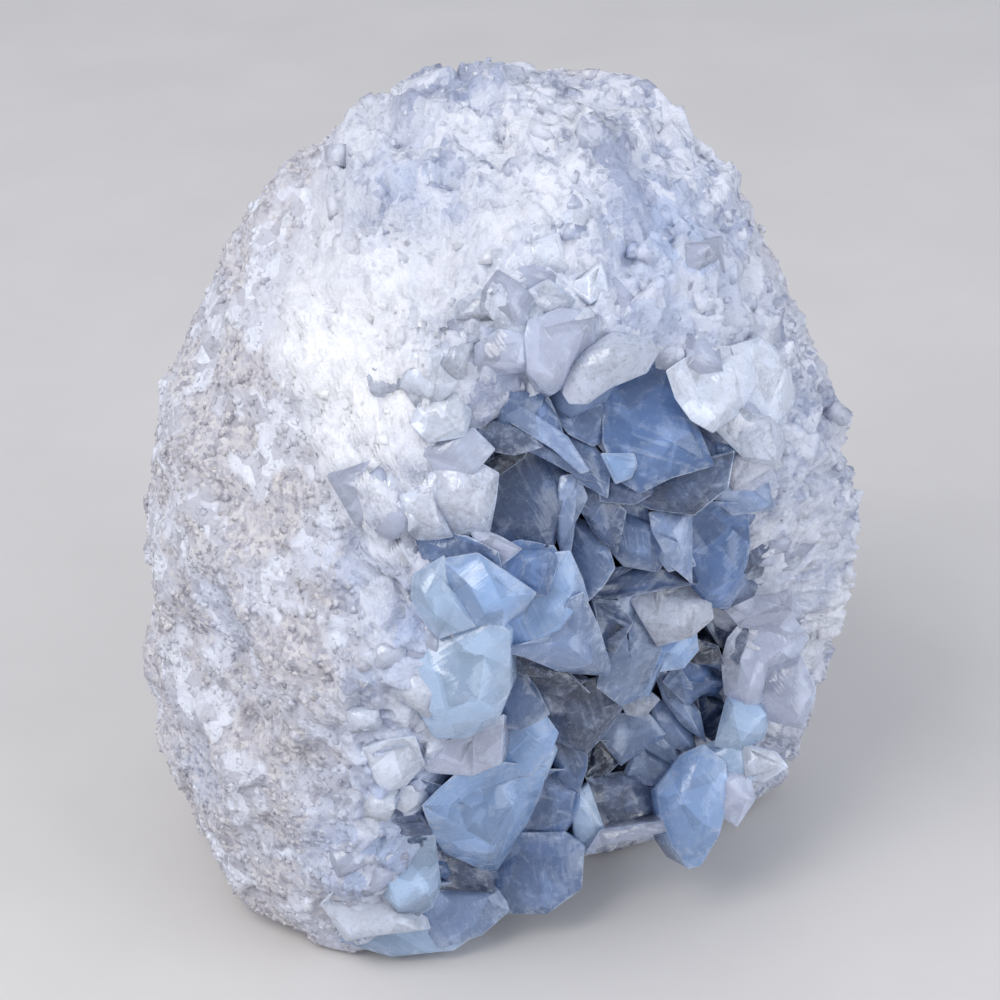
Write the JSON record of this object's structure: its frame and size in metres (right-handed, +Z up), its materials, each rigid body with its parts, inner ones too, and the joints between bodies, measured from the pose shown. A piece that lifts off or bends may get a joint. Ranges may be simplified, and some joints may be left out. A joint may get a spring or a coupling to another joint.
{
  "type": "celestite geode",
  "caption": "Free-standing egg-shaped celestite geode on a cut flat base, its broken front lined with blue crystals; a display stone.",
  "frame": {"origin": "on the flat cut base, below the middle of the egg", "axes": "+Z up along the egg, the hollow faces -Y and partly +X, +X to the right as seen from the front"},
  "size_m": [0.1351, 0.1194, 0.1604],
  "materials": {
    "rind": "white to grey-beige sugary granular crust, matt with small glints",
    "celestite": "pale blue translucent crystal, milky in places, glossy flat faces"
  },
  "bodies": {
    "root": {"geode_rind": "rind", "crystal_crust": "celestite"}
  },
  "joints": []
}
